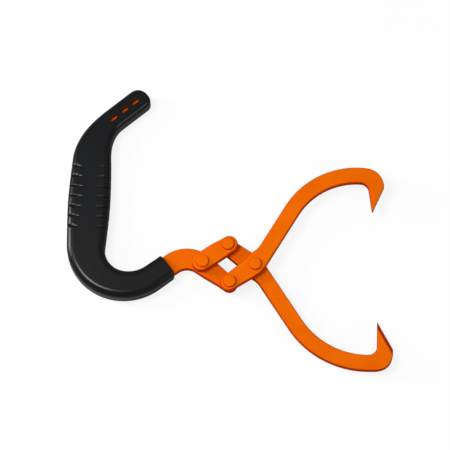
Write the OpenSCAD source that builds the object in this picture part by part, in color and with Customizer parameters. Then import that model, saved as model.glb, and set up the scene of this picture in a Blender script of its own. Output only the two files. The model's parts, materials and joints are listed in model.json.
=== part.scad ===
// Log tongs: two hooked jaws, a short link and a J-shaped handle bar, held by four rivets.
// The tongs lie flat. X runs from the grip to the jaws, Y across them and Z through the plates.
// There are two layers of flat bar: the handle bar and the lower jaw below, the link and the upper jaw above.

/* [Linkage] */
// Distance between the two pivots of the link, and between the two pivots of the upper jaw
link_pitch = 29.4; // [28.4:0.1:36]
// Distance between the two pivots of the handle bar, and between the two pivots of the lower jaw
bar_pitch = 32.2; // [31:0.1:38]
// Direction of the link with the jaws as in the rest pose
link_angle = 35.3; // [32:0.1:39]
// Direction from the link's pivot to the jaw's pivot along the handle bar
bar_angle = -37.5; // [-41:0.5:-34]

/* [Bars] */
// Thickness of every flat bar
bar_t = 8; // [6:0.5:10]
// Width of the bar that the jaws are bent from
bar_w = 15.2; // [13:0.2:16]
// Air between the two layers
layer_gap = 0.4; // [0.2:0.1:0.8]
// Width of both jaws at the main rivet
hub_w = 19; // [17:0.5:20]
// How much wider the inside of the bend past the main rivet is
hub_fill = 0.8; // [0:0.1:1.6]
// Distance past that bend over which the extra width runs out
hub_run = 5.5; // [2:0.5:12]
// Width of the jaws at their outer pivots
eye_w = 15.8; // [14.6:0.2:17]
// How far a jaw or the link keeps its width past an outer pivot, before its round end
eye_past = 1.2; // [0.4:0.1:1.6]
// Width of the handle bar at the jaw's pivot
handle_eye_w = 14.8; // [14:0.2:16]
// Width of the link at the handle bar
link_root_w = 17.2; // [15:0.2:18]
// Width of the link in the middle
link_mid_w = 17.8; // [16:0.2:19]
// Width of the link at the lower jaw
link_tip_w = 16; // [14:0.2:17]
// How far the link's round ends lie beside their pivots, to opposite sides
link_aside = 0.7; // [0:0.1:1.2]

/* [Rivets] */
// Diameter of the shanks
rivet_d = 8; // [6:0.5:9]
// Diameter of the heads
head_d = 12; // [11:0.5:13]
// Height of the heads
head_h = 2.6; // [2:0.2:3.2]
// Rounding of the heads' rims
head_round = 0.9; // [0.4:0.1:1.4]
// Radial clearance of a shank in its holes
bore_fit = 0.05; // [0.02:0.01:0.08]
// Radial clearance of the link's hole at the lower jaw, the pivot that closes the linkage
closing_fit = 0.08; // [0.05:0.01:0.1]
// Air under the heads on the upper layer
head_gap = 0.1; // [0.05:0.05:0.3]

/* [Upper jaw] */
// Distance from the main rivet to the bend's corner
upper_bend_at = 5.2; // [4:0.1:10]
// Bend between the short arm and the long arm
upper_bend = 23; // [18:0.2:26]
// Straight length of the long arm
upper_arm = 51.8; // [40:0.2:60]
// Radius of the bow, at the middle of the bar
upper_bow_r = 71.8; // [60:0.2:90]
// Angle of the bow
upper_bow = 61.6; // [56:0.2:66]
// Angle of the hook
upper_hook = 78.8; // [74:0.2:90]
// Length of the hook's straight inner edge, up to the point
upper_point = 22.4; // [20:0.1:28]
// Length of the hook's straight outer edge, below 0 where the slanting cut reaches into the bend
upper_heel = -1.3; // [-2:0.1:3]
// Width in the middle of the hook's bend
upper_hook_w = 16.6; // [15.2:0.2:20]
// Length ground away at the point on the upper face
upper_grind = 2.2; // [1:0.2:8]
// Length by which the point is blunted
upper_blunt = 1.8; // [0.4:0.1:2.4]

/* [Lower jaw] */
// Distance from the main rivet to the bend's corner
lower_bend_at = 4.7; // [3:0.1:7]
// Bend between the short arm and the long arm
lower_bend = 19.8; // [16:0.2:24]
// Straight length of the long arm
lower_arm = 56.5; // [50:0.2:70]
// Radius of the bow, at the middle of the bar
lower_bow_r = 81.4; // [70:0.2:100]
// Angle of the bow
lower_bow = 56.9; // [50:0.1:60]
// Angle of the hook
lower_hook = 88.8; // [84:0.2:96]
// Length of the hook's straight inner edge, up to the point
lower_point = 25.8; // [22:0.1:30]
// Length of the hook's straight outer edge, below 0 where the slanting cut reaches into the bend
lower_heel = -0.3; // [-2:0.1:3]
// Width in the middle of the hook's bend
lower_hook_w = 18.2; // [15.2:0.2:20]
// Length ground away at the point on the upper face
lower_grind = 9; // [6:0.2:14]
// Length by which the point is blunted
lower_blunt = 0.6; // [0.4:0.1:2.4]

/* [Hooks and bends] */
// Radius inside both hooks
hook_r = 8.4; // [6:0.2:10]
// Radius of the bend past the main rivet, at the middle of the bar
bend_r = 38; // [24:1:44]

/* [Handle bar] */
// Straight length from the jaw's pivot towards the neck
bar_lead = 32.4; // [30:0.1:36]
// Radius of the neck, at the middle of the bar
neck_r = 23.8; // [20:0.1:30]
// Angle of the neck
neck_bend = 73.5; // [68:0.1:80]
// Straight length from the neck to the grip
neck_lead = 4.9; // [4:0.1:10]
// Width at the start of the neck
neck_w = 19.8; // [17:0.2:21]
// Width where the bar enters the grip
mouth_w = 20.2; // [17:0.2:21]
// Width inside the grip
core_w = 14; // [10:0.5:15]
// Distance from the bar's end to the grip's far end
core_short = 7; // [5:0.5:12]

/* [Grip] */
// Straight length of the collar
collar_len = 18; // [14:0.1:24]
// Radius of the first bend
heel_r = 42.3; // [36:0.1:56]
// Angle of the first bend
heel_bend = 44.7; // [38:0.1:50]
// Radius of the second bend
palm_r = 37.4; // [32:0.1:46]
// Angle of the second bend
palm_bend = 84.5; // [80:0.1:92]
// Straight length of the hand zone
hand_len = 82.8; // [80:0.1:110]
// Radius of the bend above the hand
fore_r = 59.7; // [46:0.1:72]
// Angle of the bend above the hand
fore_bend = 47.9; // [40:0.1:56]
// Straight length of the horn at the far end
horn_len = 37.7; // [32:0.1:50]
// Thickness of the grip
grip_t = 22.8; // [20:0.2:26]
// Rounding of the grip's long edges
grip_round = 6; // [4:0.5:7]
// Width at the collar
collar_w = 23.4; // [23:0.1:26]
// Width where the first bend starts
heel_w = 23.9; // [22.5:0.1:26]
// Width between the two bends
mid_w = 26.8; // [24:0.1:30]
// Width where the hand zone starts
palm_w = 36.4; // [32:0.1:39]
// Width in the middle of the hand zone
hand_w = 39.8; // [34:0.1:43]
// Width where the hand zone ends
fore_w = 36.6; // [32:0.1:39]
// Width of the horn
horn_w = 21.4; // [20:0.1:24]
// Rounding of the horn's outer corner
end_round_out = 10.2; // [8:0.2:11]
// Rounding of the horn's inner corner
end_round_in = 6.6; // [4:0.2:8]
// Rounding of the rim at the horn's end
horn_round = 3; // [1:0.2:4]
// Rounding of the rim at the collar
collar_round = 0.8; // [0.4:0.1:1.2]
// Rounding of the collar's outer corner
collar_corner = 2.6; // [1:0.2:4]
// Wall left round the bar at that corner
collar_lip = 0.4; // [0.3:0.1:0.8]
// Clearance between the bar and the grip moulded over it
mould_fit = 0.05; // [0.02:0.01:0.1]

/* [Grooves and windows] */
// Grooves down each side of the hand zone
groove_count = 7; // [5:1:7]
// Distance between two grooves
groove_pitch = 9.9; // [8:0.1:10.6]
// Distance from the start of the hand zone to the first groove
groove_start = 16.1; // [8:0.1:18]
// Width of a groove
groove_w = 3.2; // [2:0.1:4]
// Depth of a groove at the grip's sides
groove_depth = 1.9; // [0.4:0.1:2.4]
// Length of a groove on the upper and lower faces
groove_fade = 12; // [9:0.5:14]
// Windows in the horn that show the painted bar
window_count = 3; // [2:1:3]
// Length of a window
window_len = 9; // [7:0.5:10]
// Width of a window
window_w = 4.4; // [3:0.2:6]
// Distance between the middles of two windows
window_pitch = 13; // [11:0.5:14]
// Distance from the grip's far end to the middle of the first window
window_at = 14; // [13:0.5:16]

/* [Hidden] */

bar_orange = "#EE6C00";
grip_black = "#26292B";
$fn = 64;
// Degrees of a bend between two stations
arc_step = 3;
// Pieces of a straight along which the width changes
taper_cuts = 4;
// Steps round an eye and round a rivet head's rim
eye_steps = 24;
rim_steps = 6;
// Rings over the rounded end of the horn, over a groove and over the collar's rim
end_rings = 6;
groove_rings = 4;
collar_rings = 6;
// Steps of each rounded edge of the grip
edge_steps = 4;
// Largest shares of half a ring's width that the rounded edge and a groove may take
most_round = 0.9;
most_fade = 0.96;
// Shares of a groove's depth that show between its inner end and the edge, and where the edge starts
face_dip = 0.3;
edge_dip = 0.6;
// Size of the blocks that cut the points, and how far a cut runs past a face
block = 120;
past = 1;
// Two distances along a bar closer than this are the same place
same = 0.001;

function heading(a) = [cos(a), sin(a)];
// The four pivots, measured from the main rivet
main_pivot = [0, 0];
jaw_handle_pivot = -link_pitch * heading(link_angle);
link_jaw_pivot = -bar_pitch * heading(bar_angle);
link_handle_pivot = jaw_handle_pivot - bar_pitch * heading(bar_angle);

upper_z = bar_t + layer_gap;
stack_top = upper_z + bar_t;

// A bent bar is a walk. A step is [length, 0] for a straight, or [radius, angle] for a bend, left positive.
// A straight along which the width changes has a third number, the pieces that it is cut in.
// A station is [x, y, heading, distance walked].
function step_length(s) = s[1] == 0 ? s[0] : s[0] * abs(s[1]) * PI / 180;
function step_count(s) = s[1] != 0 ? max(2, ceil(abs(s[1]) / arc_step)) : len(s) > 2 ? s[2] : 1;
function bend_centre(p, s) = [p[0], p[1]] + sign(s[1]) * s[0] * heading(p[2] + 90);
function station(p, s, part) = s[1] == 0
    ? let (q = [p[0], p[1]] + s[0] * part * heading(p[2]))
      [q[0], q[1], p[2], p[3] + s[0] * part]
    : let (turned = p[2] + s[1] * part, q = bend_centre(p, s) - sign(s[1]) * s[0] * heading(turned + 90))
      [q[0], q[1], turned, p[3] + step_length(s) * part];
function walk(p, steps, i = 0) = i == len(steps) ? [p] : concat(
    [for (k = [0:step_count(steps[i]) - 1]) station(p, steps[i], k / step_count(steps[i]))],
    walk(station(p, steps[i], 1), steps, i + 1));
function walked(steps, count) = count == 0 ? 0 : step_length(steps[count - 1]) + walked(steps, count - 1);
function last(list) = list[len(list) - 1];
function backwards(list) = [for (i = [len(list) - 1:-1:0]) list[i]];

// Widths from a table of [distance walked, width], joined by a curve that never swings past them
function rise(t, i) = (t[i + 1][1] - t[i][1]) / (t[i + 1][0] - t[i][0]);
function slope(t, i) = i == 0 || i == len(t) - 1 ? 0 : let (a = rise(t, i - 1), b = rise(t, i))
    a * b <= 0 ? 0 : 2 * a * b / (a + b);
function span_of(t, d, i = 0) = i == len(t) - 2 || d < t[i + 1][0] ? i : span_of(t, d, i + 1);
function smooth(t, d) = let (i = span_of(t, d), h = t[i + 1][0] - t[i][0], u = (d - t[i][0]) / h)
    t[i][1] * (1 + 2 * u) * (1 - u) * (1 - u) + t[i + 1][1] * u * u * (3 - 2 * u)
    + h * slope(t, i) * u * (1 - u) * (1 - u) - h * slope(t, i + 1) * u * u * (1 - u);

// Edges of a bar, from such a table
function beside(p, side, half) = [p[0], p[1]] + side * half * heading(p[2] + 90);
function edge(way, widths, side) = [for (p = way) beside(p, side, smooth(widths, p[3]) / 2)];
function eye(p, w) = [for (k = [1:eye_steps - 1])
    [p[0], p[1]] + w / 2 * heading(p[2] - 90 - 180 * k / eye_steps)];
function bar_outline(way, left, right) = concat(
    eye(way[0], left[0][1]), edge(way, left, 1), backwards(edge(way, right, -1)));

// A jaw and the link start a little behind their outer pivots
function outer_end(pivot, a) = [each (pivot - eye_past * heading(a)), a, 0];

// A jaw: short arm, bend past the main rivet, long arm, bow, hook and point
function tangent(r, a) = r * tan(abs(a) / 2);
function jaw_steps(pitch, bend_at, bend, arm, bow_r, bow, hook, inner, side) = [
    [eye_past + pitch + bend_at - tangent(bend_r, bend), 0, taper_cuts],
    [bend_r, side * bend],
    [hub_run, 0, taper_cuts],
    [arm - hub_run, 0],
    [bow_r, -side * bow],
    [hook_r + bar_w / 2, -side * hook],
    [inner, 0]];
// Its outer edge is full inside the bend and round the hook. Its inner edge only narrows past the main rivet.
function halfway(steps, i) = (walked(steps, i) + walked(steps, i + 1)) / 2;
function outer_widths(steps, hook_w) = [
    [0, eye_w], [walked(steps, 1), hub_w], [halfway(steps, 1), hub_w + 2 * hub_fill],
    [walked(steps, 3), bar_w], [walked(steps, 5), bar_w],
    [halfway(steps, 5), 2 * hook_w - bar_w], [walked(steps, 6), bar_w], [walked(steps, 7), bar_w]];
function inner_widths(steps) = [
    [0, eye_w], [walked(steps, 1), hub_w], [walked(steps, 2), bar_w], [walked(steps, 7), bar_w]];

upper_steps = jaw_steps(link_pitch, upper_bend_at, upper_bend, upper_arm, upper_bow_r,
                        upper_bow, upper_hook, upper_point - upper_blunt, 1);
upper_way = walk(outer_end(jaw_handle_pivot, link_angle), upper_steps);
upper_outline = bar_outline(upper_way, outer_widths(upper_steps, upper_hook_w), inner_widths(upper_steps));

lower_steps = jaw_steps(bar_pitch, lower_bend_at, lower_bend, lower_arm, lower_bow_r,
                        lower_bow, lower_hook, lower_point - lower_blunt, -1);
lower_way = walk(outer_end(link_jaw_pivot, bar_angle), lower_steps);
lower_outline = bar_outline(lower_way, inner_widths(lower_steps), outer_widths(lower_steps, lower_hook_w));

// The link is a strip, widest in the middle and a little askew to its pivots, with round ends
link_root = link_handle_pivot + link_aside * heading(link_angle + 90);
link_run = link_jaw_pivot - link_aside * heading(link_angle + 90) - link_root;
link_len = norm(link_run) + 2 * eye_past;
link_way = walk(outer_end(link_root, atan2(link_run[1], link_run[0])), [[link_len, 0, 2 * taper_cuts]]);
link_widths = [[0, link_root_w], [link_len / 2, link_mid_w], [link_len, link_tip_w]];
link_outline = concat(
    eye(link_way[0], link_root_w), edge(link_way, link_widths, 1),
    eye(last(link_way) + [0, 0, 180, 0], link_tip_w), backwards(edge(link_way, link_widths, -1)));

// The handle bar runs from the jaw's pivot through the neck and the whole grip
neck_steps = [[bar_lead, 0, taper_cuts], [neck_r, neck_bend], [neck_lead, 0]];
grip_bends = [[collar_len, 0], [heel_r, -heel_bend], [palm_r, -palm_bend], [hand_len, 0],
              [fore_r, -fore_bend]];
bar_steps = concat(neck_steps, grip_bends, [[horn_len - core_short, 0]]);
bar_way = walk([each jaw_handle_pivot, bar_angle + 180, 0], bar_steps);
mouth_at = walked(bar_steps, 3);
bar_widths = [[0, handle_eye_w], [walked(bar_steps, 1), neck_w], [mouth_at, mouth_w],
              [walked(bar_steps, 4), core_w], [last(bar_way)[3], core_w]];
core_way = [for (p = bar_way) if (p[3] >= mouth_at - same) p];
mouth = core_way[0];

// The grip has a ring at each station of its own walk along the same line, with more at grooves and ends
end_zone = max(end_round_out, end_round_in);
collar_zone = max(collar_round, collar_corner);
collar_part = [for (k = [1:collar_rings])
    [collar_zone * (cos(90 * (k - 1) / collar_rings) - cos(90 * k / collar_rings)), 0]];
groove_part = [for (i = [0:groove_count - 1]) each concat(
    [[i == 0 ? groove_start - groove_w / 2 : groove_pitch - groove_w, 0]],
    [for (k = [1:groove_rings]) [groove_w / groove_rings, 0]])];
hand_rest = hand_len - groove_start - (groove_count - 1) * groove_pitch - groove_w / 2;
end_part = [for (k = [1:end_rings])
    [end_zone * (sin(90 * k / end_rings) - sin(90 * (k - 1) / end_rings)), 0]];
grip_steps = concat(collar_part, [[collar_len - collar_zone, 0], grip_bends[1], grip_bends[2]],
                    groove_part, [[hand_rest, 0], grip_bends[4], [horn_len - end_zone, 0]], end_part);
grip_way = walk([mouth[0], mouth[1], mouth[2], 0], grip_steps);
grip_len = last(grip_way)[3];

// Widths of the grip
bends_at = [for (i = [0:5]) walked(grip_bends, i)];
grip_widths = [[0, collar_w], [bends_at[1], heel_w], [bends_at[2], mid_w], [bends_at[3], palm_w],
               [(bends_at[3] + bends_at[4]) / 2, hand_w], [bends_at[4], fore_w],
               [bends_at[5], horn_w], [bends_at[5] + horn_len, horn_w]];

lip_half = mouth_w / 2 + mould_fit + collar_lip;

// How far a rounded corner of radius r has drawn in at a distance from its end
function drawn_in(r, d) = d >= r ? 0 : r - sqrt(r * r - (r - d) * (r - d));
function groove_at(d) = max(0, max([for (i = [0:groove_count - 1])
    let (off = abs(d - bends_at[3] - groove_start - i * groove_pitch) / (groove_w / 2))
    off < 1 ? groove_depth * (1 - off * off) : 0]));

// Half outline of one side of a ring, as [across, up], from the upper face down to the lower one
function half_ring(half, up, groove) = let (
    r = min(grip_round, most_round * half),
    far = min(groove_fade, most_fade * half),
    face = [[half - far, up], [half - (far + r) / 2, up - groove * face_dip]],
    corner = [for (k = [0:edge_steps])
        let (a = 90 - 90 * k / edge_steps, g = groove * (edge_dip + (1 - edge_dip) * k / edge_steps))
        [half - r + (r - g) * cos(a), up - r + (r - g) * sin(a)]],
    top = concat(face, corner)
) concat(top, [for (q = backwards(top)) [q[0], -q[1]]]);
function ring(p) = let (
    d = p[3],
    to_end = grip_len - d,
    half = smooth(grip_widths, d) / 2,
    corner = max(half - drawn_in(collar_corner, d), d > collar_zone ? 0 : lip_half),
    out = corner - drawn_in(end_round_out, to_end),
    in = half - drawn_in(collar_round, d) - drawn_in(end_round_in, to_end),
    shift = (out - in) / 2,
    up = grip_t / 2 - drawn_in(collar_round, d) - drawn_in(horn_round, to_end),
    side = half_ring((out + in) / 2, up, groove_at(d))
) [for (q = concat(side, [for (q = backwards(side)) [-q[0], q[1]]]))
    let (xy = beside(p, 1, q[0] + shift)) [xy[0], xy[1], bar_t / 2 + q[1]]];
// The hollow for the bar: four corners at each of the bar's own stations, and past its end
function hollow_ring(p, more = 0) = let (
    half = smooth(bar_widths, p[3]) / 2 + mould_fit,
    at = more * heading(p[2])
) [for (q = [[1, bar_t + mould_fit], [1, -mould_fit], [-1, -mould_fit], [-1, bar_t + mould_fit]])
        let (xy = beside(p, q[0], half) + at) [xy[0], xy[1], q[1]]];

// Where the whole part stands: the middle of its outline at X = 0 and Y = 0, its lowest face at Z = 0
rings = [for (p = grip_way) ring(p)];
extent = concat([for (r = rings) each [for (q = r) [q[0], q[1]]]], lower_outline, upper_outline);
across = [for (q = extent) q[0]];
along = [for (q = extent) q[1]];
home = [-(min(across) + max(across)) / 2, -(min(along) + max(along)) / 2,
        max(grip_t / 2 - bar_t / 2, head_h)];

module plate(outline, z) translate([0, 0, z]) linear_extrude(bar_t) polygon(outline);
module bore(at, z, fit = bore_fit)
    translate([at[0], at[1], z - past]) cylinder(d = rivet_d + 2 * fit, h = bar_t + 2 * past);

// Block that cuts away what lies outside the line from one point to another at height z, leaning in above it
module cut_block(from, to, z, lean, side) {
    line = to - from;
    translate([from[0], from[1], z])
        rotate([0, 0, atan2(line[1], line[0])])
        mirror([0, side > 0 ? 1 : 0, 0])
        rotate([lean, 0, 0])
        translate([-block / 2, 0, -block / 2])
        cube(block);
}

// Slanting cut from the hook's outer edge to its point, ground over towards the upper face
module ground_point(way, heel, point, grind, z, side) {
    hook_end = way[len(way) - 2];
    outer = beside(hook_end, side, bar_w / 2) + heel * heading(hook_end[2]);
    tip = beside(hook_end, -side, bar_w / 2) + point * heading(hook_end[2]);
    cut_angle = atan(bar_w / (point - heel));
    cut_block(tip, outer, z, atan(grind * sin(cut_angle) / bar_t), side);
}

// A rivet is one revolved profile: a lower head, the shank and an upper head just clear of the upper bar
module rivet(at) {
    head = [for (k = [0:rim_steps]) [head_d / 2 - head_round + head_round * cos(90 * k / rim_steps),
                                     head_h - head_round + head_round * sin(90 * k / rim_steps)]];
    upper_head = stack_top + head_gap;
    profile = concat(
        [[0, -head_h]],
        [for (q = backwards(head)) [q[0], -q[1]]],
        [[head_d / 2, 0], [rivet_d / 2, 0], [rivet_d / 2, upper_head], [head_d / 2, upper_head]],
        [for (q = head) [q[0], upper_head + q[1]]],
        [[0, upper_head + head_h]]);
    translate([at[0], at[1], 0]) rotate_extrude() polygon(profile);
}
module link_handle_rivet() color(bar_orange) translate(home) rivet(link_handle_pivot);
module link_jaw_rivet() color(bar_orange) translate(home) rivet(link_jaw_pivot);
module jaw_handle_rivet() color(bar_orange) translate(home) rivet(jaw_handle_pivot);
module main_rivet() color(bar_orange) translate(home) rivet(main_pivot);

module handle_bar() color(bar_orange) translate(home) difference() {
    plate(bar_outline(bar_way, bar_widths, bar_widths), 0);
    bore(jaw_handle_pivot, 0);
    bore(link_handle_pivot, 0);
}

module link() color(bar_orange) translate(home) difference() {
    plate(link_outline, upper_z);
    bore(link_handle_pivot, upper_z);
    bore(link_jaw_pivot, upper_z, closing_fit);
}

module upper_jaw() color(bar_orange) translate(home) difference() {
    plate(upper_outline, upper_z);
    bore(jaw_handle_pivot, upper_z);
    bore(main_pivot, upper_z);
    ground_point(upper_way, upper_heel, upper_point, upper_grind, upper_z, 1);
}

module lower_jaw() color(bar_orange) translate(home) difference() {
    plate(lower_outline, 0);
    bore(link_jaw_pivot, 0);
    bore(main_pivot, 0);
    ground_point(lower_way, lower_heel, lower_point, lower_grind, 0, -1);
}

// The grip is one moulding: its outer skin, the hollow for the bar and the ring of wall at the mouth
module grip_moulding() {
    hollow = concat([for (p = core_way) hollow_ring(p)], [hollow_ring(last(core_way), mould_fit)]);
    n = len(rings[0]);
    m = len(rings);
    inner = m * n;
    deep = len(hollow);
    corners = [for (k = [0:3]) edge_steps / 2 + 2 + k * n / 4];
    skin = [for (i = [0:m - 2], k = [0:n - 1]) let (a = i * n + k, b = i * n + (k + 1) % n)
        each [[a, b, b + n], [a, b + n, a + n]]];
    walls = [for (i = [0:deep - 2], k = [0:3]) let (a = inner + 4 * i + k, b = inner + 4 * i + (k + 1) % 4)
        each [[a, b + 4, b], [a, a + 4, b + 4]]];
    rim = [for (k = [0:3]) concat([for (j = [0:n / 4]) (corners[k] + n / 4 - j) % n],
                                  [inner + k, inner + (k + 1) % 4])];
    polyhedron(points = concat([for (r = rings) each r], [for (r = hollow) each r]),
               faces = concat(skin, walls, rim, [[for (k = [n - 1:-1:0]) (m - 1) * n + k]],
                              [[for (k = [0:3]) inner + 4 * (deep - 1) + k]]));
}

// A window is a slot with round ends, cut through the upper wall down to the bar
function along_way(way, d, k) = lookup(d, [for (p = way) [p[3], p[k]]]);
slot_half = (window_len - window_w) / 2;
slot_outline = [for (end = [0, 1], k = [0:eye_steps])
    [(1 - 2 * end) * slot_half, 0] + window_w / 2 * heading(180 * end - 90 + 180 * k / eye_steps)];
module window(d) translate([along_way(grip_way, d, 0), along_way(grip_way, d, 1), bar_t / 2])
    rotate(along_way(grip_way, d, 2))
    linear_extrude(grip_t) polygon(slot_outline);

module grip() color(grip_black) translate(home) difference() {
    grip_moulding();
    for (i = [0:window_count - 1]) window(grip_len - window_at - i * window_pitch);
}

handle_bar();
grip();
link();
upper_jaw();
lower_jaw();
link_handle_rivet();
link_jaw_rivet();
jaw_handle_rivet();
main_rivet();
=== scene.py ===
# %% [markdown]
# Log tongs in powder-coated steel with a moulded rubber grip.
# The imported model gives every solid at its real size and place. This lesson gives those solids their looks:
# softened bar edges, turned rivet heads, the grip's grooves and windows, and the two finishes.
# Sizes are in millimetres. The factor MM turns them into metres where they reach a mesh, lamp or camera.

# %% Load the frame
import json
import math
import bmesh
import bpy
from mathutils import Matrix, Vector


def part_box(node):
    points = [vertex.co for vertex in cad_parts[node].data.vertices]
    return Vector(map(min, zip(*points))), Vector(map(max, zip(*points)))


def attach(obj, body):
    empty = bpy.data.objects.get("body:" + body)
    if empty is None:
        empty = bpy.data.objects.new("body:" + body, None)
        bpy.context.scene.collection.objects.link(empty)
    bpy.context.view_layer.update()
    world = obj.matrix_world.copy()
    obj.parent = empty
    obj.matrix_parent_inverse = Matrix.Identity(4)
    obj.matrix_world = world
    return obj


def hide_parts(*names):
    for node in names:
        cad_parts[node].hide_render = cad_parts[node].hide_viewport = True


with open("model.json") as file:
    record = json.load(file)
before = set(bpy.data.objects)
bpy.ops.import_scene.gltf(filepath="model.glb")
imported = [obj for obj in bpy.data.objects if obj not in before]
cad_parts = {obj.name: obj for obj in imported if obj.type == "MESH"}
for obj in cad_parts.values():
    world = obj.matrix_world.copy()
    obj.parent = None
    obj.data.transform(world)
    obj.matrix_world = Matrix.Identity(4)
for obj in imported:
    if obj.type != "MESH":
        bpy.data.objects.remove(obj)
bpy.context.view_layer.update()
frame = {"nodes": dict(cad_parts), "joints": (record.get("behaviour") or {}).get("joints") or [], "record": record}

# %% [markdown]
# Pivots come from the frame's joints, so the looks follow the model if a pivot moves.
# The four pivots make a parallelogram. The joints give three of its corners, and those give the fourth.

# %% Pivots and levels
MM = 0.001


def pivot_of(joint_name):
    """Where a joint's axis stands in the plane of the tongs, in mm."""
    joint = next(j for j in frame["joints"] if j["name"] == joint_name)
    return Vector(joint["pos_m"][:2]) / MM


jaw_handle = pivot_of("jaw_open")
link_handle = pivot_of("link_swing")
main_pivot = pivot_of("lower_jaw_turn")
link_jaw = link_handle + main_pivot - jaw_handle
lower_bar_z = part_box("handle_bar")[0].z / MM
upper_bar_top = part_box("upper_jaw")[1].z / MM
bar_t = (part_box("handle_bar")[1].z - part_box("handle_bar")[0].z) / MM
print("main rivet at", tuple(round(x, 2) for x in main_pivot), "bars", round(bar_t, 2), "mm thick")

# %% [markdown]
# A few helpers serve every material. Colours are written as sRGB hex values, as a colour picker gives them,
# and turned to the linear values that shaders work in. One call adds a node with its settings and links.

# %% Colour and node helpers


def linear(hex_colour):
    """sRGB hex to a linear RGBA tuple."""
    parts = [int(hex_colour[i:i + 2], 16) / 255 for i in (1, 3, 5)]
    curve = [p / 12.92 if p <= 0.04045 else ((p + 0.055) / 1.055) ** 2.4 for p in parts]
    return (*curve, 1.0)


def add_node(material, kind, settings=None, **links):
    """Adds a node. settings holds properties and plain input values, and links the outputs that feed it."""
    node = material.node_tree.nodes.new(kind)
    for name, value in (settings or {}).items():
        if name in node.inputs:
            node.inputs[name].default_value = value
        else:
            setattr(node, name, value)
    for name, output in links.items():
        material.node_tree.links.new(output, node.inputs[name.replace("_", " ")])
    return node


def new_material(name):
    """An empty material with its output and principled shader, ready for nodes."""
    material = bpy.data.materials.new(name)
    material.use_nodes = True
    material.node_tree.nodes.clear()
    shader = add_node(material, "ShaderNodeBsdfPrincipled")
    add_node(material, "ShaderNodeOutputMaterial", Surface=shader.outputs["BSDF"])
    return material, shader


def per_metre(size_mm):
    """Scale of a noise whose features are about this many millimetres across, for coordinates in metres."""
    return 1 / (size_mm * MM)


# %% [markdown]
# No real finish has one even colour. Both finishes and the board drift a little between two tones, in soft
# patches that a noise places. The spread is the share of the noise's range that the change takes on either
# side of its middle, so a wide one gives a softer change.

# %% A colour that drifts
SPREAD = 0.18


def patchy(material, place, pattern, tones, spread=SPREAD):
    """A colour that drifts between two tones in the patches of a noise pattern."""
    patches = add_node(material, "ShaderNodeTexNoise", pattern, Vector=place)
    ramp = add_node(material, "ShaderNodeValToRGB", Fac=patches.outputs["Fac"])
    for element, tone, at in zip(ramp.color_ramp.elements, tones, (0.5 - spread, 0.5 + spread)):
        element.color = linear(tone)
        element.position = at
    return ramp.outputs["Color"]


# %% [markdown]
# The bars, link and rivets are mild steel under an orange polyester powder coat, baked after riveting.
# Powder flows as it melts and leaves a satin skin with a faint orange peel, ripples some 2 mm across and
# a few microns high. They are too shallow to see at this distance, so they are drawn a little deeper.
# The photograph shows the bars' rims and sides in a deeper red than their faces, where they turn from the
# light, so the tone follows how steeply the surface stands: a painted shade. Hardly any gloss shows, so the
# specular level is far below a typical paint's.
# The upper jaw's ground point shows lighter than the bars' faces where it catches the light, so that one face
# has a paint of its own that carries a painted highlight.

# %% Powder-coated steel
FACE_TONES = ("#E76300", "#F06C00")
# Painted shade: steep sides and rims take these darker tones for the shade that falls on them
SHADED_SIDE_TONES = ("#C83600", "#D03D00")
# Painted highlight: the upper jaw's ground face takes these lighter tones for the light it catches
GROUND_HIGHLIGHT_TONES = ("#FF8C0A", "#FF9410")
# The upward part of the normal, up to which the tones painted on steep faces hold, and from which the face tones
# hold
STEEP, LEVEL = 0.7, 0.99
COAT_PATCH, SPECK = 26, 0.6
PEEL, PEEL_HEIGHT, PEEL_STRENGTH = 2.2, 0.05, 0.3
PAINT_ROUGHNESS = {"To Min": 0.36, "To Max": 0.46}
PAINT_IOR, PAINT_SPECULAR = 1.5, 0.015


def powder_coated_steel(name, steep_shading_tones):
    """The orange coat. Level faces have the face tones, and all that stands steeper the painted shading tones."""
    material, shader = new_material(name)
    place = add_node(material, "ShaderNodeTexCoord").outputs["Object"]
    patches = {"Scale": per_metre(COAT_PATCH), "Detail": 3.0, "Roughness": 0.55}
    ripples = {"Scale": per_metre(PEEL), "Detail": 1.5}
    specks = {"Scale": per_metre(SPECK), "Detail": 2.0}
    slope = {"interpolation_type": "SMOOTHSTEP", "From Min": STEEP, "From Max": LEVEL}
    surface = add_node(material, "ShaderNodeNewGeometry").outputs["Normal"]
    up = add_node(material, "ShaderNodeSeparateXYZ", Vector=surface).outputs["Z"]
    flatness = add_node(material, "ShaderNodeMath", {"operation": "ABSOLUTE"}, Value=up).outputs["Value"]
    # Mask of the painted shading: steep faces take the steep tones, level faces the face tones
    shading_mask = add_node(material, "ShaderNodeMapRange", slope, Value=flatness)
    tone = add_node(material, "ShaderNodeMixRGB", Fac=shading_mask.outputs["Result"],
                    Color1=patchy(material, place, patches, steep_shading_tones),
                    Color2=patchy(material, place, patches, FACE_TONES))
    speck = add_node(material, "ShaderNodeTexNoise", specks, Vector=place)
    gloss = add_node(material, "ShaderNodeMapRange", PAINT_ROUGHNESS, Value=speck.outputs["Fac"])
    peel = add_node(material, "ShaderNodeTexNoise", ripples, Vector=place)
    bump = add_node(material, "ShaderNodeBump", {"Strength": PEEL_STRENGTH, "Distance": PEEL_HEIGHT * MM},
                    Height=peel.outputs["Fac"])
    links = material.node_tree.links
    links.new(tone.outputs["Color"], shader.inputs["Base Color"])
    links.new(gloss.outputs["Result"], shader.inputs["Roughness"])
    links.new(bump.outputs["Normal"], shader.inputs["Normal"])
    shader.inputs["IOR"].default_value = PAINT_IOR
    shader.inputs["Specular IOR Level"].default_value = PAINT_SPECULAR
    return material


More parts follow.
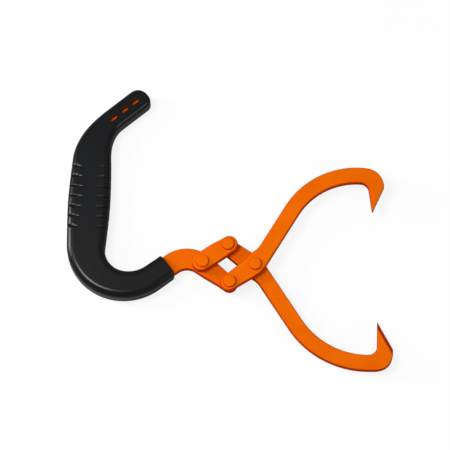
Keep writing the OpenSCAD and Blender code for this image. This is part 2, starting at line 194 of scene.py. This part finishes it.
# The main coat paints shade onto steep faces, and the ground coat paints a highlight onto the upper jaw's ground
# face
steel_paint = powder_coated_steel("powder_coated_steel", SHADED_SIDE_TONES)
ground_highlight_paint = powder_coated_steel("powder_coated_steel_painted_highlight", GROUND_HIGHLIGHT_TONES)
print("paints", steel_paint.name, "and", ground_highlight_paint.name)

# %% [markdown]
# The grip is black rubber moulded over the bar. The mould is spark-eroded, which leaves a fine even grain
# that scatters light, so the faces look satin and charcoal rather than glossy black. The moulded skin itself
# is smoother. A thin coat over the grain stands for it, and draws a fine bright line where an edge turns to
# the light.

# %% Moulded rubber
RUBBER_TONES = ("#0B0C0E", "#101113")
RUBBER_CLOUD, RUBBER_SPREAD = 35, 0.2
GRAIN, GRAIN_HEIGHT, GRAIN_STRENGTH = 0.7, 0.06, 0.35
RUBBER_ROUGHNESS = {"To Min": 0.26, "To Max": 0.33}
RUBBER_IOR, RUBBER_SPECULAR = 1.52, 0.05
SKIN_WEIGHT, SKIN_ROUGHNESS = 0.4, 0.22


def moulded_rubber():
    """Charcoal rubber with a fine grain under a thin smoother skin."""
    material, shader = new_material("moulded_rubber")
    place = add_node(material, "ShaderNodeTexCoord").outputs["Object"]
    cloud = {"Scale": per_metre(RUBBER_CLOUD), "Detail": 4.0}
    grit = {"Scale": per_metre(GRAIN), "Detail": 3.0}
    tone = patchy(material, place, cloud, RUBBER_TONES, RUBBER_SPREAD)
    grain = add_node(material, "ShaderNodeTexNoise", grit, Vector=place)
    gloss = add_node(material, "ShaderNodeMapRange", RUBBER_ROUGHNESS, Value=grain.outputs["Fac"])
    bump = add_node(material, "ShaderNodeBump", {"Strength": GRAIN_STRENGTH, "Distance": GRAIN_HEIGHT * MM},
                    Height=grain.outputs["Fac"])
    links = material.node_tree.links
    links.new(tone, shader.inputs["Base Color"])
    links.new(gloss.outputs["Result"], shader.inputs["Roughness"])
    links.new(bump.outputs["Normal"], shader.inputs["Normal"])
    shader.inputs["IOR"].default_value = RUBBER_IOR
    shader.inputs["Specular IOR Level"].default_value = RUBBER_SPECULAR
    shader.inputs["Coat Weight"].default_value = SKIN_WEIGHT
    shader.inputs["Coat Roughness"].default_value = SKIN_ROUGHNESS
    return material


rubber = moulded_rubber()
print("rubber with a grain of", GRAIN, "mm")

# %% [markdown]
# A piece in this lesson is a mesh of its own that rides on a body and stands for its CAD solid.
# All of them are built from rings of vertices joined by bands of faces, which suits bent bars, turned heads
# and a lofted grip alike. A subdivided box could be pulled into each of them too, but its edges would need
# creases to keep the real radii, and rings have those radii from the start.

# %% Placing a piece


def place_piece(name, mesh, body, slot, material, *nodes):
    """Links a mesh as a piece that rides on a body and stands for CAD nodes."""
    piece = bpy.data.objects.new(name, mesh)
    bpy.context.scene.collection.objects.link(piece)
    mesh.materials.append(material)
    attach(piece, body)
    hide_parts(*nodes)
    return piece


# %% Rings, bands and meshes
CREASE = math.radians(32)


def new_ring(bm, points, z):
    """Vertices of one closed ring. z is one level or a level for each point, in mm."""
    levels = z if isinstance(z, list) else [z] * len(points)
    return [bm.verts.new((p.x * MM, p.y * MM, level * MM)) for p, level in zip(points, levels)]


def join_rings(bm, a, b):
    """A band of faces between two rings. Either may be a single point, where the band closes to a cap."""
    count = max(len(a), len(b))
    for k in range(count):
        j = (k + 1) % count
        corners = [a[k % len(a)], a[j % len(a)], b[j % len(b)], b[k % len(b)]]
        bm.faces.new(list(dict.fromkeys(corners)))


def new_mesh(bm, name):
    """Turns a bmesh into a mesh whose faces all look outwards."""
    bmesh.ops.recalc_face_normals(bm, faces=bm.faces)
    mesh = bpy.data.meshes.new(name)
    bm.to_mesh(mesh)
    bm.free()
    return mesh


def shade(mesh, crease=CREASE):
    """Soft shading, with crisp lines where two faces meet at more than the crease angle."""
    for polygon in mesh.polygons:
        polygon.use_smooth = True
    mesh.set_sharp_from_angle(angle=crease)
    return mesh


# %% [markdown]
# Hot-rolled bar has rounded corners, and the powder coat rounds them further, to about 1.3 mm. A plain
# extruded bar would catch the light on a knife edge. A bevel on the solid itself trips over the bores in its
# flat faces, so each bar is built again from its solid's outline. First the outline and the bores are read
# from the lower face.

# %% Outlines from the solids
# How close two points are taken as one, and how near the lower face a point is taken as on it
WELD = 0.001
ON_FACE = 0.01


def signed_area(loop):
    """Area inside a loop of points, positive where it runs counterclockwise."""
    return sum(a.cross(b) for a, b in zip(loop, loop[1:] + loop[:1])) / 2


def outline_loops(node):
    """Closed edge loops of a bar's lower face in mm, counterclockwise and with the outer one first."""
    bm = bmesh.new()
    bm.from_mesh(frame["nodes"][node].data)
    bmesh.ops.remove_doubles(bm, verts=bm.verts, dist=WELD * MM)
    floor_z = min(v.co.z for v in bm.verts) + ON_FACE * MM
    lower = {f for f in bm.faces if max(v.co.z for v in f.verts) < floor_z}
    edges = [e for e in bm.edges if sum(f in lower for f in e.link_faces) == 1]
    loops = []
    while edges:
        edge = edges.pop()
        start, corner = edge.verts
        loop = [start.co.xy / MM]
        while corner != start:
            loop.append(corner.co.xy / MM)
            edge = next(e for e in corner.link_edges if e in edges)
            edges.remove(edge)
            corner = edge.other_vert(corner)
        loops.append(loop if signed_area(loop) > 0 else loop[::-1])
    bm.free()
    return sorted(loops, key=signed_area, reverse=True)


# %% [markdown]
# An outline needs even points before it can be lofted. Its few sharp corners, where the bar was cut to a
# point, are eased with a small curve, and its long straights are cut into steps.

# %% Even steps and eased corners
CORNER, CORNER_STEPS = 0.5, 4
# What an eased corner takes of its edges beyond the need of its radius, and the most, as a share of them
CORNER_SPARE, CORNER_SHARE = 0.1, 0.4
SHARP_TURN = math.radians(16)
OUTLINE_STEP = 2.5


def eased(loop):
    """Rounds the sharp corners of an outline, taking no more than a share of the edges beside each."""
    out = []
    for i, point in enumerate(loop):
        before, after = loop[i - 1] - point, loop[(i + 1) % len(loop)] - point
        turn = math.pi - before.angle(after)
        if turn < SHARP_TURN:
            out.append(point)
            continue
        wanted = CORNER * math.tan(turn / 2) + CORNER_SPARE
        reach = min(wanted, CORNER_SHARE * before.length, CORNER_SHARE * after.length)
        first, last = point + before.normalized() * reach, point + after.normalized() * reach
        for k in range(CORNER_STEPS + 1):
            t = k / CORNER_STEPS
            out.append(first * (1 - t) ** 2 + point * 2 * t * (1 - t) + last * t * t)
    return out


def stepped(loop):
    """Cuts the long straights of an outline into even steps."""
    out = []
    for a, b in zip(loop, loop[1:] + loop[:1]):
        parts = math.ceil((b - a).length / OUTLINE_STEP)
        out += [a.lerp(b, k / parts) for k in range(parts)]
    return out


def miters(loop):
    """At each corner, the way out of the outline, as long as a unit step of both edges needs."""
    out = []
    for i, point in enumerate(loop):
        ahead, behind = (loop[(i + 1) % len(loop)] - point).normalized(), (point - loop[i - 1]).normalized()
        a, b = Vector((ahead.y, -ahead.x)), Vector((behind.y, -behind.x))
        out.append((a + b) / (1 + a.dot(b)))
    return out


# %% [markdown]
# Now the plate is lofted: rings that draw in round the outline make the two rims, bores are plain walls, and
# the flat faces are filled between them. A weighted normal on the finished bar keeps those faces flat to
# the light.

# %% Rounded plates
RIM = 1.3
RIM_STEPS = 5


def full_rim(point):
    """The rim of plain bar, the same at every point."""
    return RIM


def fill_flat(bm, rings, up):
    """A flat face with holes, between an outer ring and the rings inside it."""
    edges = [bm.edges.get((ring[k], ring[(k + 1) % len(ring)])) for ring in rings for k in range(len(ring))]
    bmesh.ops.triangle_fill(bm, edges=edges, use_beauty=True, use_dissolve=False, normal=(0, 0, up))


def rounded_plate(outline, bores, low, high, rim_at=full_rim, steps=RIM_STEPS):
    """A plate between two levels as a bmesh, its rims rounded by rim_at(point), or sharp with no steps."""
    bm = bmesh.new()
    out = miters(outline)
    rims = [rim_at(point) for point in outline]
    turns = [math.radians(90 * k / steps) for k in range(steps + 1)] if steps else [math.radians(90)]
    rings = []
    for face, side, order in ((low, 1, turns), (high, -1, turns[::-1])):
        for a in order:
            points = [p - m * r * (1 - math.sin(a)) for p, m, r in zip(outline, out, rims)]
            rings.append(new_ring(bm, points, [face + side * r * (1 - math.cos(a)) for r in rims]))
    for a, b in zip(rings, rings[1:]):
        join_rings(bm, a, b)
    walls = [(new_ring(bm, bore, low), new_ring(bm, bore, high)) for bore in bores]
    for bottom, top in walls:
        join_rings(bm, bottom, top)
    fill_flat(bm, [rings[0]] + [bottom for bottom, top in walls], -1)
    fill_flat(bm, [rings[-1]] + [top for bottom, top in walls], 1)
    return bm


# %% [markdown]
# Each jaw's point is ground on one slanting plane after bending. The plane is the solid's own slanting face,
# and the plate is cut along it. Grinding leaves crisper edges, so the rims fade from the full rounding as
# they near the point. The cut face takes the mesh's second material slot.

# %% Ground points
CRISP, FADE = 0.25, 0.16
# The ground face is the largest that is neither upright nor level, told by the upward part of its normal
SLANT_MIN, SLANT_MAX = 0.05, 0.95
ON_PLANE = 0.0001
GROUND_SLOT = 1


def rim_near(point_name):
    """A rim that is crisp at a jaw's ground tip and grows with the distance from it, up to the full one."""
    mount = next(m for m in frame["record"]["mounts"] if m["name"] == point_name)
    tip = Vector(mount["pos_m"][:2]) / MM

    def rim_at(point):
        return min(RIM, CRISP + FADE * (point - tip).length)

    return rim_at


def slanting_plane(node):
    """A point and the normal of a solid's ground face."""
    faces = [f for f in frame["nodes"][node].data.polygons if SLANT_MIN < abs(f.normal.z) < SLANT_MAX]
    face = max(faces, key=lambda f: f.area)
    return face.center.copy(), face.normal.copy()


def grind(bm, node):
    """Cuts a plate along its solid's ground face and closes it there."""
    middle, normal = slanting_plane(node)
    everything = bm.verts[:] + bm.edges[:] + bm.faces[:]
    halved = bmesh.ops.bisect_plane(bm, geom=everything, dist=ON_PLANE * MM, plane_co=middle,
                                    plane_no=normal, clear_outer=True)
    edges = [e for e in halved["geom_cut"] if isinstance(e, bmesh.types.BMEdge)]
    for face in bmesh.ops.edgeloop_fill(bm, edges=edges)["faces"]:
        face.material_index = GROUND_SLOT


# %% [markdown]
# Each bar is now one call. The handle bar and the link are plain bar with bores, and each jaw also has its
# ground point. All four take the orange paint, and the upper jaw's ground face the lighter one, a painted
# highlight.

# %% The four bars


def painted_bar(node, body, point_name=None, ground=steel_paint):
    """A bar with softened rims. A jaw also names the mount at its ground point, and that face's paint."""
    outer, *bores = outline_loops(node)
    low, high = (corner.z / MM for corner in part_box(node))
    rim_at = rim_near(point_name) if point_name else full_rim
    bm = rounded_plate(stepped(eased(outer)), bores, low, high, rim_at)
    if point_name:
        grind(bm, node)
    mesh = shade(new_mesh(bm, node))
    piece = place_piece(node + "_painted", mesh, body, "orange_paint", steel_paint, node)
    mesh.materials.append(ground)
    weighted = piece.modifiers.new("flat faces", "WEIGHTED_NORMAL")
    weighted.keep_sharp = True
    print(piece.name, len(mesh.polygons), "faces,", len(bores), "bores")


painted_bar("handle_bar", "handle")
painted_bar("link", "link")
# The upper jaw's ground face takes the coat with the painted highlight
painted_bar("upper_jaw", "upper_jaw", "upper_point", ground_highlight_paint)
painted_bar("lower_jaw", "lower_jaw", "lower_point")

# %% [markdown]
# Each rivet is an 8 mm shank with a flat head formed at both ends. Seen from above only the head shows: a
# disc 12 mm across with a rolled rim and a barely domed top. A Screw modifier could turn such a profile, but
# rings make it just as well, and each head then ends in one clean vertex.

# %% Rivets
HEAD_GAP = 0.1
HEAD_R = (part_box("main_rivet")[1].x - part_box("main_rivet")[0].x) / MM / 2
HEAD_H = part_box("main_rivet")[1].z / MM - upper_bar_top - HEAD_GAP
SHANK_R = 4.0
HEAD_RIM, FOOT_RIM = 1.0, 0.15
DOME = 0.12
RIM_TURNS, DOME_RINGS, TURNS = 8, 5, 72
POLE_R = 0.001


def head_profile():
    """Half profile of a head from its seat to its middle, as (radius, height)."""
    points = [(HEAD_R - FOOT_RIM, 0.0), (HEAD_R, FOOT_RIM)]
    flat_r, shoulder = HEAD_R - HEAD_RIM, HEAD_H - DOME - HEAD_RIM
    for k in range(RIM_TURNS + 1):
        a = math.radians(90 * k / RIM_TURNS)
        points.append((flat_r + HEAD_RIM * math.cos(a), shoulder + HEAD_RIM * math.sin(a)))
    for k in range(1, DOME_RINGS + 1):
        share = 1 - k / DOME_RINGS
        points.append((flat_r * share, HEAD_H - DOME * share ** 2))
    return points


def turned_ring(bm, at, r, z):
    """A ring of a turned piece, or a single vertex where its radius comes down to nothing."""
    turns = [2 * math.pi * k / TURNS for k in range(1 if r < POLE_R else TURNS)]
    return [bm.verts.new(((at.x + r * math.cos(a)) * MM, (at.y + r * math.sin(a)) * MM, z * MM))
            for a in turns]


def turned_rivet(node, body, at):
    """A rivet with a head below the lower bar and one above the upper bar, turned about its pivot."""
    top = upper_bar_top + HEAD_GAP
    upper = [(r, top + z) for r, z in head_profile()]
    lower = [(r, lower_bar_z - z) for r, z in reversed(head_profile())]
    shank = [(SHANK_R, lower_bar_z), (SHANK_R, top)]
    bm = bmesh.new()
    rings = [turned_ring(bm, at, r, z) for r, z in lower + shank + upper]
    for a, b in zip(rings, rings[1:]):
        join_rings(bm, a, b)
    place_piece(node + "_turned", shade(new_mesh(bm, node)), body, "orange_paint", steel_paint, node)


turned_rivet("jaw_handle_rivet", "handle", jaw_handle)
turned_rivet("link_handle_rivet", "handle", link_handle)
turned_rivet("link_jaw_rivet", "lower_jaw", link_jaw)
turned_rivet("main_rivet", "lower_jaw", main_pivot)
print("rivet heads", round(2 * HEAD_R, 2), "mm across and", round(HEAD_H, 2), "mm high")

# %% [markdown]
# The grip follows one line: out of the neck, through two bends that make the J, along the hand zone,
# and round to the horn. The line is a walk of straights and bends, and the grip is a loft of rings along it.
# A bevelled curve would follow such a line too, but its section could not change shape on the way.

# %% The grip's line
BAR_LEAD, NECK_R, NECK_BEND, NECK_LEAD = 32.4, 23.8, 73.5, 4.9
COLLAR_LEN = 18.0
HEEL_R, HEEL_BEND = 42.3, 44.7
PALM_R, PALM_BEND = 37.4, 84.5
HAND_LEN = 82.8
FORE_R, FORE_BEND = 59.7, 47.9
HORN_LEN = 37.7


def heading(degrees):
    """A unit step in a direction."""
    return Vector((math.cos(math.radians(degrees)), math.sin(math.radians(degrees))))


def length_of(size, bend):
    """Length of a straight (length, 0) or a bend (radius, angle)."""
    return size if bend == 0 else size * math.radians(abs(bend))


def walk_to(start, steps, distance):
    """Point and heading after walking a distance along straights and bends."""
    point, angle = start
    for size, bend in steps:
        length = length_of(size, bend)
        part = min(1.0, distance / length)
        if bend == 0:
            point = point + heading(angle) * size * part
        else:
            side = math.copysign(1, bend)
            centre = point + heading(angle + 90) * size * side
            angle += bend * part
            point = centre - heading(angle + 90) * size * side
        distance -= length
        if distance <= 0:
            break
    return point, angle


toward_link = link_handle - jaw_handle
bar_heading = math.degrees(math.atan2(toward_link.y, toward_link.x))
neck_steps = [(BAR_LEAD, 0), (NECK_R, NECK_BEND), (NECK_LEAD, 0)]
neck_len = sum(length_of(size, bend) for size, bend in neck_steps)
mouth = walk_to((jaw_handle, bar_heading), neck_steps, neck_len)
grip_steps = [(COLLAR_LEN, 0), (HEEL_R, -HEEL_BEND), (PALM_R, -PALM_BEND), (HAND_LEN, 0),
              (FORE_R, -FORE_BEND), (HORN_LEN, 0)]
marks = [0.0]
for size, bend in grip_steps:
    marks.append(marks[-1] + length_of(size, bend))
collar_end, heel_end, hand_start, hand_end, horn_start, grip_len = marks[1:]
print("the grip's line is", round(grip_len, 1), "mm long")

# %% [markdown]
# The grip is widest in the middle of the hand zone and slim at the collar and the horn. Its widths are given
# at a few places, and a smooth curve joins them, as a mould maker would draw it.

# %% Widths along the grip
COLLAR_W, COLLAR_END_W, HEEL_W = 23.4, 23.9, 26.8
HAND_START_W, HAND_MIDDLE_W, HAND_END_W = 36.4, 39.8, 36.6
HORN_W = 21.4
width_at = [(0, COLLAR_W), (collar_end, COLLAR_END_W), (heel_end, HEEL_W), (hand_start, HAND_START_W),
            ((hand_start + hand_end) / 2, HAND_MIDDLE_W), (hand_end, HAND_END_W),
            (horn_start, HORN_W), (grip_len, HORN_W)]


def curve_through(table, d):
    """Value at d on a curve through the table's (place, value) points that never swings past them."""
    def rise(i):
        return (table[i + 1][1] - table[i][1]) / (table[i + 1][0] - table[i][0])

    def slope(i):
        if i in (0, len(table) - 1):
            return 0.0
        a, b = rise(i - 1), rise(i)
        return 0.0 if a * b <= 0 else 2 * a * b / (a + b)

    i = next((k for k in range(len(table) - 2) if d < table[k + 1][0]), len(table) - 2)
    h = table[i + 1][0] - table[i][0]
    u = (d - table[i][0]) / h
    return (table[i][1] * (1 + 2 * u) * (1 - u) ** 2 + table[i + 1][1] * u * u * (3 - 2 * u)
            + h * slope(i) * u * (1 - u) ** 2 - h * slope(i + 1) * u * u * (1 - u))


print("grip widths", [(round(place), width) for place, width in width_at])

# %% [markdown]
# Seven grooves cross each side of the hand zone. Each runs over the rounded edge and dies out on the face,
# and the middle ones reach furthest. They are cut into the loft itself, so they show in the outline too.

# %% Grooves
GROOVES, GROOVE_PITCH, GROOVE_START = 7, 9.9, 16.1
GROOVE_W, GROOVE_DEPTH, GROOVE_FADE = 1.9, 1.2, 1.3
REACH_SHORT, REACH_MORE = 9.5, 5.5
groove_at = [hand_start + GROOVE_START + i * GROOVE_PITCH for i in range(GROOVES)]


def groove_depth(d, inset):
    """How deep the rubber is cut at a distance along the grip and an inset from its side."""
    for i, at in enumerate(groove_at):
        off = abs(d - at) / (GROOVE_W / 2)
        if off < 1:
            reach = REACH_SHORT + REACH_MORE * math.sin(math.pi * (i + 0.5) / GROOVES)
            fade = max(0.0, 1 - inset / reach)
            return GROOVE_DEPTH * (1 - off) * fade ** GROOVE_FADE
    return 0.0


print("grooves at", [round(at, 1) for at in groove_at])

# %% [markdown]
# A quarter of a ring is half a flat face, a rounded edge and half a flat side, and mirroring makes it whole.
# At the horn's end the rings draw in on a larger radius outside the J than inside. At the collar the outer
# corner is the rounder one, and it stops where a thin lip of rubber is left beside the bar.

# %% Rings of the loft
GRIP_T, GRIP_ROUND = 22.8, 6.0
# The rounded edge takes at most these shares of half the width and half the height
ROUND_OF_WIDTH, ROUND_OF_HEIGHT = 0.9, 0.95
END_OUT, END_IN, END_RIM = 10.2, 6.6, 3.0
COLLAR_RIM, COLLAR_CORNER, COLLAR_LIP = 0.8, 2.6, 0.4
MOUTH_W, FIT = 20.2, 0.05
FACE_STEPS, EDGE_STEPS, SIDE_STEPS = 12, 7, 3
grip_mid_z = lower_bar_z + bar_t / 2


def drawn_in(r, d):
    """How far a rounded corner of radius r has drawn in at a distance from its end."""
    return 0.0 if d >= r else r - math.sqrt(max(0.0, r * r - (r - d) ** 2))


def quarter(half, up, d):
    """Outline of a quarter ring from the middle of the face to the middle of the side, as (across, up)."""
    r = min(GRIP_ROUND, ROUND_OF_WIDTH * half, ROUND_OF_HEIGHT * up)
    points = [((half - r) * k / FACE_STEPS, up, 0.0, 1.0) for k in range(FACE_STEPS)]
    for k in range(EDGE_STEPS + 1):
        a = math.radians(90 - 90 * k / EDGE_STEPS)
        points.append((half - r + r * math.cos(a), up - r + r * math.sin(a), math.cos(a), math.sin(a)))
    points += [(half, (up - r) * (1 - k / SIDE_STEPS), 1.0, 0.0) for k in range(1, SIDE_STEPS)]
    grooved = []
    for x, z, nx, nz in points:
        g = groove_depth(d, half - x)
        grooved.append((x - g * nx, z - g * nz))
    return grooved


def ring(d):
    """One closed ring of points, in metres."""
    (x, y), angle = walk_to(mouth, grip_steps, d)
    to_end = grip_len - d
    half = curve_through(width_at, d) / 2
    lip = MOUTH_W / 2 + FIT + COLLAR_LIP if d <= COLLAR_CORNER else 0.0
    left = max(half - drawn_in(COLLAR_CORNER, d), lip) - drawn_in(END_OUT, to_end)
    right = half - drawn_in(COLLAR_RIM, d) - drawn_in(END_IN, to_end)
    up = GRIP_T / 2 - drawn_in(COLLAR_RIM, d) - drawn_in(END_RIM, to_end)
    middle, half = (left - right) / 2, (left + right) / 2
    side = quarter(half, up, d)
    top = side + [(half - groove_depth(d, 0), 0.0)] + [(a, -b) for a, b in reversed(side)]
    loop = top + [(-a, -b) for a, b in top[1:-1]]
    across = heading(angle + 90)
    return [((x + across.x * (a + middle)) * MM, (y + across.y * (a + middle)) * MM, (grip_mid_z + b) * MM)
            for a, b in loop]


# %% [markdown]
# The loft needs most rings where the form changes fastest: over the grooves, at the collar's corner and
# round the horn's end. Between those an even step is enough.

# %% Loft the skin
STATION, CLEAR_OF_GROOVE = 1.6, 0.4
COLLAR_TURN = 15
END_PARTS, GROOVE_PARTS = 14, 5


def ring_places():
    """Distances of the rings along the grip, in order."""
    places = [COLLAR_CORNER * (1 - math.cos(math.radians(turn))) for turn in range(0, 90, COLLAR_TURN)]
    end_turns = [math.radians(90 * k / END_PARTS) for k in range(END_PARTS + 1)]
    places += [grip_len - END_OUT * (1 - math.sin(turn)) for turn in end_turns]
    for at in groove_at:
        places += [at + GROOVE_W / 2 * k / GROOVE_PARTS for k in range(-GROOVE_PARTS, GROOVE_PARTS + 1)]
    start, stop = COLLAR_CORNER, grip_len - END_OUT
    count = int((stop - start) / STATION)
    for k in range(count):
        d = start + (stop - start) * k / count
        if min(abs(d - at) for at in groove_at) > GROOVE_W / 2 + CLEAR_OF_GROOVE:
            places.append(d)
    return sorted(places)


def lofted_skin():
    """The grip's outside, closed at both ends."""
    bm = bmesh.new()
    rings = [[bm.verts.new(p) for p in ring(d)] for d in ring_places()]
    for a, b in zip(rings, rings[1:]):
        join_rings(bm, a, b)
    bm.faces.new(rings[0])
    bm.faces.new(rings[-1])
    return new_mesh(bm, "grip_rubber")


print("the loft has", len(ring_places()), "rings")

# %% [markdown]
# The grip is hollow where the bar runs through it, and three windows in the horn open down to the painted
# bar. Each window is a plain slot with round ends. Both are cut from the finished skin with exact booleans,
# which keep the loft's own faces as they are.

# %% Outlines of the hollow and the windows
CORE_W, CORE_SHORT = 14.0, 7.0
MOUTH_RUN, HOLLOW_STEPS = 4.0, 90
WINDOWS, WINDOW_LEN, WINDOW_W, WINDOW_PITCH, WINDOW_AT = 3, 9.0, 4.4, 13.0, 14.0
SLOT_STEPS = 16


def hollow_outline():
    """Edges of the bar inside the grip, one side out and the other back."""
    widths = [(0, MOUTH_W), (collar_end, CORE_W), (grip_len, CORE_W)]
    stop = grip_len - CORE_SHORT + FIT
    left, right = [], []
    for d in [-MOUTH_RUN] + [stop * k / HOLLOW_STEPS for k in range(HOLLOW_STEPS + 1)]:
        point, angle = walk_to(mouth, grip_steps, max(0.0, d))
        point = point + heading(angle) * min(0.0, d)
        half = curve_through(widths, max(0.0, d)) / 2 + FIT
        left.append(point + heading(angle + 90) * half)
        right.append(point - heading(angle + 90) * half)
    return right + left[::-1]


def window_outline(at):
    """A slot with round ends along the grip's line."""
    point, angle = walk_to(mouth, grip_steps, at)
    outline = []
    for end in (angle, angle + 180):
        centre = point + heading(end) * (WINDOW_LEN - WINDOW_W) / 2
        turns = [end - 90 + 180 * k / SLOT_STEPS for k in range(SLOT_STEPS + 1)]
        outline += [centre + heading(turn) * WINDOW_W / 2 for turn in turns]
    return outline


# %% Hollow and windows
RUBBER_CREASE = math.radians(42)


def cut(piece, outline, low, high, steps):
    """Cuts a plate between two levels out of a piece. With steps its rims are rounded."""
    plate = rounded_plate(outline, [], low, high, steps=steps)
    solid = bpy.data.objects.new("solid", new_mesh(plate, "solid"))
    bpy.context.scene.collection.objects.link(solid)
    boolean = piece.modifiers.new("cut", "BOOLEAN")
    boolean.operation = "DIFFERENCE"
    boolean.solver = "EXACT"
    boolean.object = solid
    graph = bpy.context.evaluated_depsgraph_get()
    mesh = bpy.data.meshes.new_from_object(piece.evaluated_get(graph))
    piece.modifiers.clear()
    piece.data = mesh
    bpy.data.objects.remove(solid)


grip = place_piece("grip_rubber", lofted_skin(), "handle", "black_rubber", rubber, "grip")
cut(grip, hollow_outline(), lower_bar_z - FIT, lower_bar_z + bar_t + FIT, RIM_STEPS)
for i in range(WINDOWS):
    window_at = grip_len - WINDOW_AT - i * WINDOW_PITCH
    cut(grip, window_outline(window_at), grip_mid_z, grip_mid_z + GRIP_T, 0)
shade(grip.data, RUBBER_CREASE)
print("grip", len(grip.data.polygons), "faces")

# %% [markdown]
# The tongs lie on a plain board, so large that its edge stays out of sight from any side. The camera sees it
# plain white with only a faint shadow, as in the photograph. Light that bounces meets a mid grey, because a
# white board would shine back from the rubber's sides, which are dark in the photograph.

# %% Floor
FLOOR_SIZE = 40000
BOARD_TONES = ("#9C9C9C", "#A0A0A0")
BOARD_PATCH = 60
BOARD_ROUGHNESS, BOARD_SPECULAR = 0.9, 0.1
CAMERA_SHARE, CAMERA_LIFT = 0.48, 0.84


def white_board():
    """A matt grey board. The camera sees only a share of that grey, lifted to white by light of its own."""
    material, shader = new_material("white_board")
    place = add_node(material, "ShaderNodeTexCoord").outputs["Object"]
    tone = patchy(material, place, {"Scale": per_metre(BOARD_PATCH), "Detail": 2.0}, BOARD_TONES)
    camera_ray = add_node(material, "ShaderNodeLightPath").outputs["Is Camera Ray"]
    lift = add_node(material, "ShaderNodeMath", {"operation": "MULTIPLY"}, Value=camera_ray)
    lift.inputs[1].default_value = CAMERA_LIFT
    seen = {"To Min": 1.0, "To Max": CAMERA_SHARE}
    share = add_node(material, "ShaderNodeMapRange", seen, Value=camera_ray)
    board = add_node(material, "ShaderNodeVectorMath", {"operation": "SCALE"}, Vector=tone,
                     Scale=share.outputs["Result"])
    links = material.node_tree.links
    links.new(board.outputs["Vector"], shader.inputs["Base Color"])
    links.new(lift.outputs["Value"], shader.inputs["Emission Strength"])
    shader.inputs["Emission Color"].default_value = linear("#FFFFFF")
    shader.inputs["Roughness"].default_value = BOARD_ROUGHNESS
    shader.inputs["Specular IOR Level"].default_value = BOARD_SPECULAR
    return material


bpy.ops.mesh.primitive_grid_add(x_subdivisions=2, y_subdivisions=2, size=FLOOR_SIZE * MM, location=(0, 0, 0))
floor = bpy.context.object
floor.name = "floor"
floor.data.materials.append(white_board())
print("board", FLOOR_SIZE * MM, "m across")

# %% [markdown]
# Three soft boxes light the tongs. The key stands high on the left, clear of where it would glare in the
# flat faces. A lower box on the left draws the bright line along the rubber, and a weaker one stands at the
# lower right. An even white world fills the shadows, at a level where a colour renders about as written.

# %% Lights
WORLD_STRENGTH = 0.33


def soft_box(name, at, aim, size, power):
    """An area light that looks from one point to another, sizes and places in mm."""
    light = bpy.data.lights.new(name, "AREA")
    light.shape = "RECTANGLE"
    light.size, light.size_y = size[0] * MM, size[1] * MM
    light.energy = power
    lamp = bpy.data.objects.new(name, light)
    bpy.context.scene.collection.objects.link(lamp)
    lamp.location = Vector(at) * MM
    lamp.rotation_euler = (Vector(at) - Vector(aim)).to_track_quat("Z", "Y").to_euler()


soft_box("key_box", at=(-540, -50, 1390), aim=(0, 0, 0), size=(450, 450), power=11.4)
soft_box("left_box", at=(-1150, 250, 480), aim=(-40, 20, 0), size=(260, 900), power=9)
soft_box("right_box", at=(1000, -650, 520), aim=(40, 0, 0), size=(350, 700), power=2.2)
world = bpy.data.worlds.new("studio")
bpy.context.scene.world = world
world.use_nodes = True
background = world.node_tree.nodes["Background"]
background.inputs["Color"].default_value = linear("#FFFFFF")
background.inputs["Strength"].default_value = WORLD_STRENGTH
print("lamps", [light.name for light in bpy.data.lights], "and a world of strength", WORLD_STRENGTH)

# %% [markdown]
# The photograph sees the tongs from 73.5 degrees above their flat side and from far away, so a long lens
# three metres off gives the same view. A pixel of the picture is 0.95 mm on the tongs, which sets the lens.
# The camera aims beside the main rivet, at what the middle of the picture shows.

# %% Camera
ELEVATION = 73.5
DISTANCE = 3000
PIXEL = 0.95
PICTURE = 450
SENSOR = 36
CLIP_END = 20000
AIM_FROM_RIVET = Vector((-28.2, 42.95))

camera_data = bpy.data.cameras.new("camera")
camera_data.sensor_width = SENSOR
camera_data.lens = DISTANCE / PIXEL / PICTURE * SENSOR
camera_data.clip_end = CLIP_END * MM
camera = bpy.data.objects.new("camera", camera_data)
bpy.context.scene.collection.objects.link(camera)
lift_angle = math.radians(ELEVATION)
back = Vector((0, -math.cos(lift_angle), math.sin(lift_angle)))
aim = Vector((main_pivot.x + AIM_FROM_RIVET.x, main_pivot.y + AIM_FROM_RIVET.y, lower_bar_z))
camera.location = (aim + back * DISTANCE) * MM
camera.rotation_euler = back.to_track_quat("Z", "Y").to_euler()
bpy.context.scene.camera = camera
bpy.context.scene.view_settings.view_transform = "Standard"
print("lens", round(camera_data.lens), "mm")
